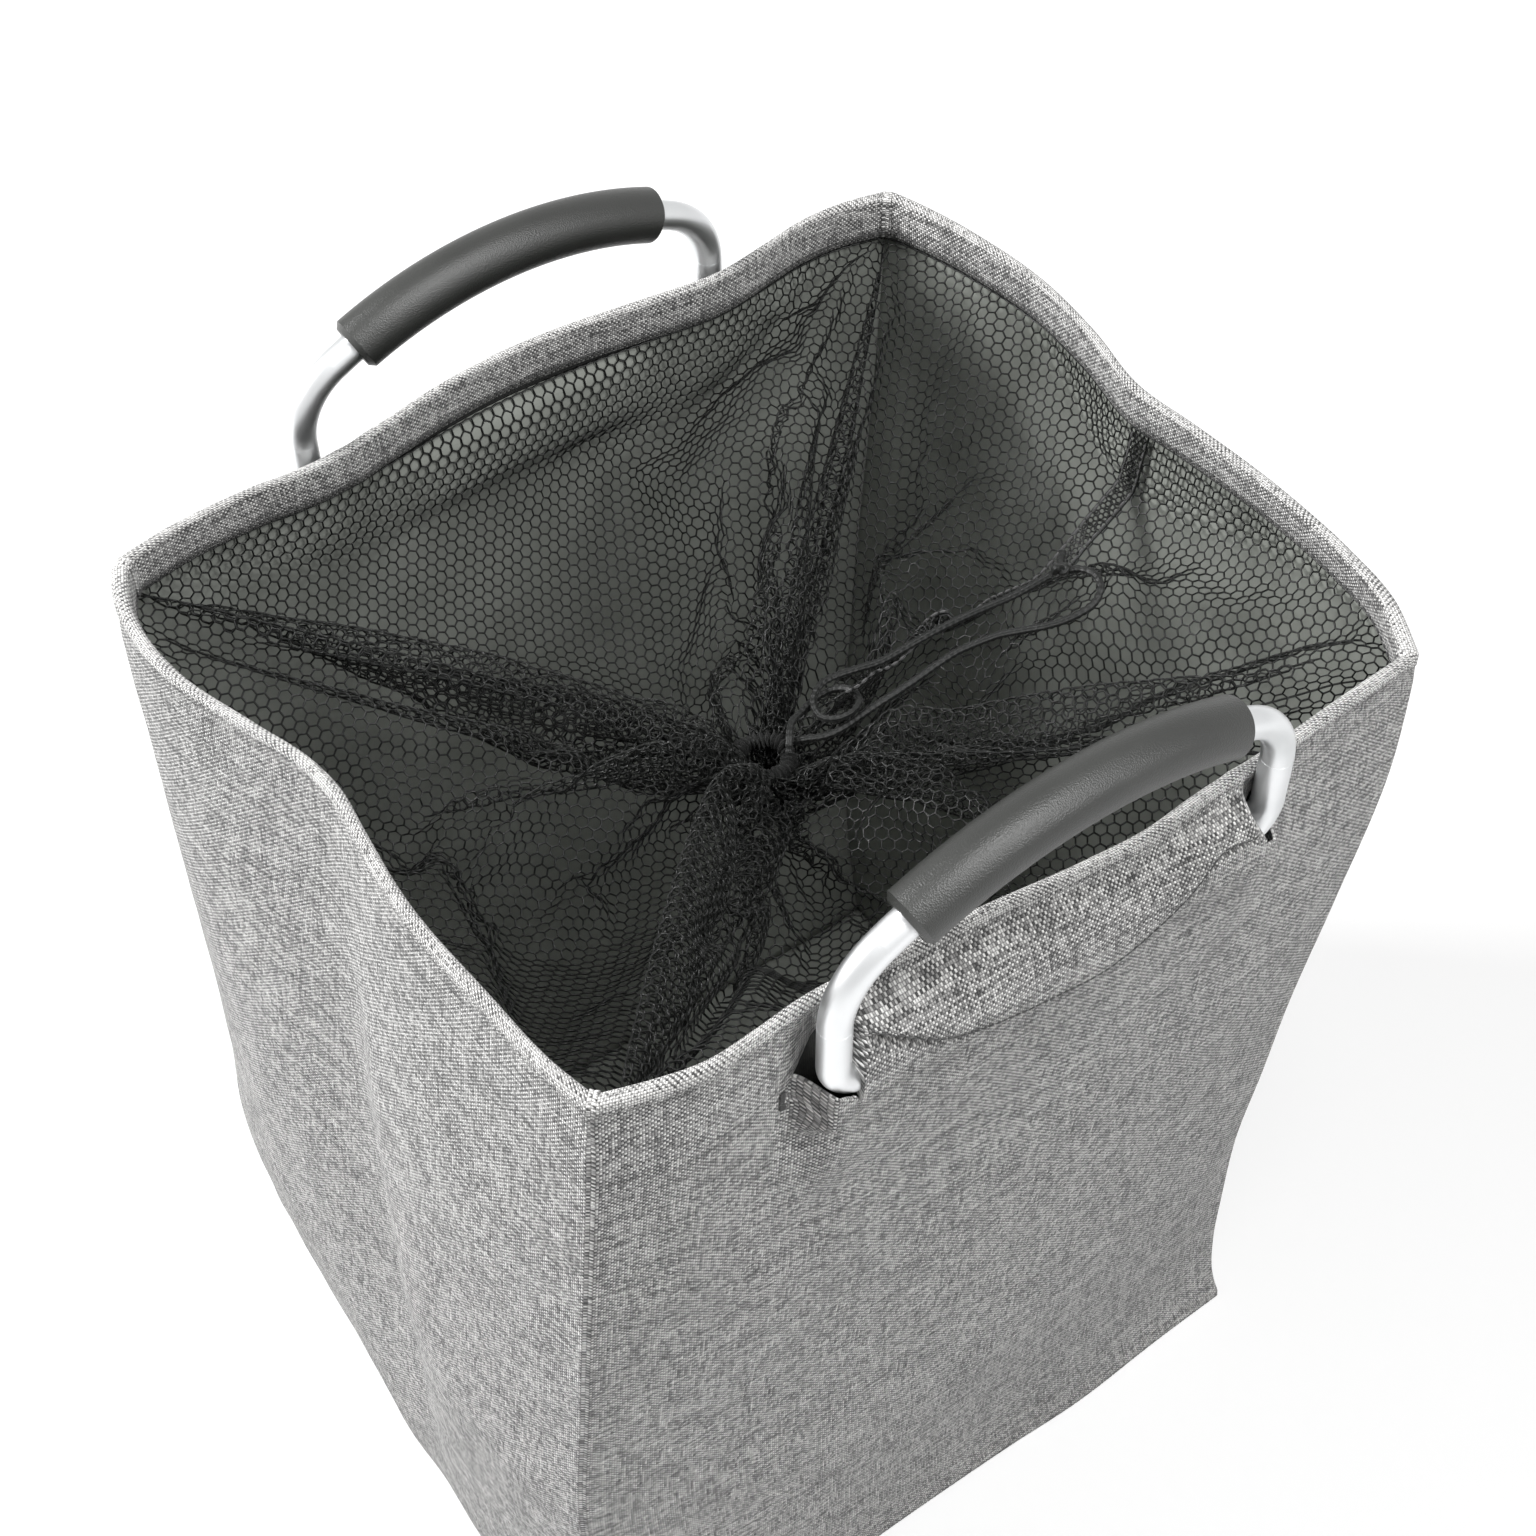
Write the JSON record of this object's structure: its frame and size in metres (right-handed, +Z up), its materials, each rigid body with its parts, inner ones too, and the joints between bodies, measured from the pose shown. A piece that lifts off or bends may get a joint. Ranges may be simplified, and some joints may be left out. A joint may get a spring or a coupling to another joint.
{
  "type": "soft laundry hamper with net cover",
  "caption": "Rectangular soft fabric laundry hamper with a coated lining, a drawstring net cover below its rim and folding D-shaped handles with foam grips.",
  "frame": {"origin": "centre of the base, on the floor that the hamper stands on", "axes": "+Z up, X along the handle sides, -Y towards the front handle, +Y towards the back handle"},
  "size_m": [0.4543, 0.4232, 0.634],
  "materials": {
    "linen_cloth": "woven melange cloth",
    "channel_cloth": "woven cloth",
    "seam_tape": "woven tape",
    "base_board": "fibreboard",
    "coated_lining": "smooth coated cloth, slight sheen",
    "net": "knitted mesh",
    "net_binding": "woven tape",
    "drawcord": "braided cord",
    "aluminium_tube": "satin anodised",
    "dowel": "matt",
    "foam_grip": "matt foam rubber"
  },
  "bodies": {
    "bag": {"front_panel": "linen_cloth", "back_panel": "linen_cloth", "left_gusset": "linen_cloth", "right_gusset": "linen_cloth", "base_panel": "linen_cloth", "base_binding": "seam_tape", "base_board": "base_board", "base_lining": "coated_lining", "front_lining": "coated_lining", "back_lining": "coated_lining", "left_lining": "coated_lining", "right_lining": "coated_lining", "front_left_seam": "seam_tape", "front_right_seam": "seam_tape", "back_left_seam": "seam_tape", "back_right_seam": "seam_tape", "front_channel": "channel_cloth", "back_channel": "channel_cloth", "front_bartacks": "linen_cloth", "back_bartacks": "linen_cloth", "net_cover": "net", "net_neck": "net", "net_header": "net_binding", "net_seam": "net_binding", "gather_casing": "net_binding", "drawcord_loop": "drawcord", "drawcord_tail_a": "drawcord", "drawcord_tail_b": "drawcord", "drawcord_knot": "drawcord"},
    "front_handle": {"front_handle_tube": "aluminium_tube", "front_handle_dowel": "dowel", "front_grip": "foam_grip"},
    "back_handle": {"back_handle_tube": "aluminium_tube", "back_handle_dowel": "dowel", "back_grip": "foam_grip"}
  },
  "joints": [
    {"name": "front_handle_hinge", "type": "hinge", "parent": "bag", "child": "front_handle", "pos_m": [0, -0.19859, 0.524], "axis": [1, 0, 0], "range_deg": [0, 80]},
    {"name": "back_handle_hinge", "type": "hinge", "parent": "bag", "child": "back_handle", "pos_m": [0, 0.19859, 0.524], "axis": [-1, 0, 0], "range_deg": [0, 80]}
  ]
}
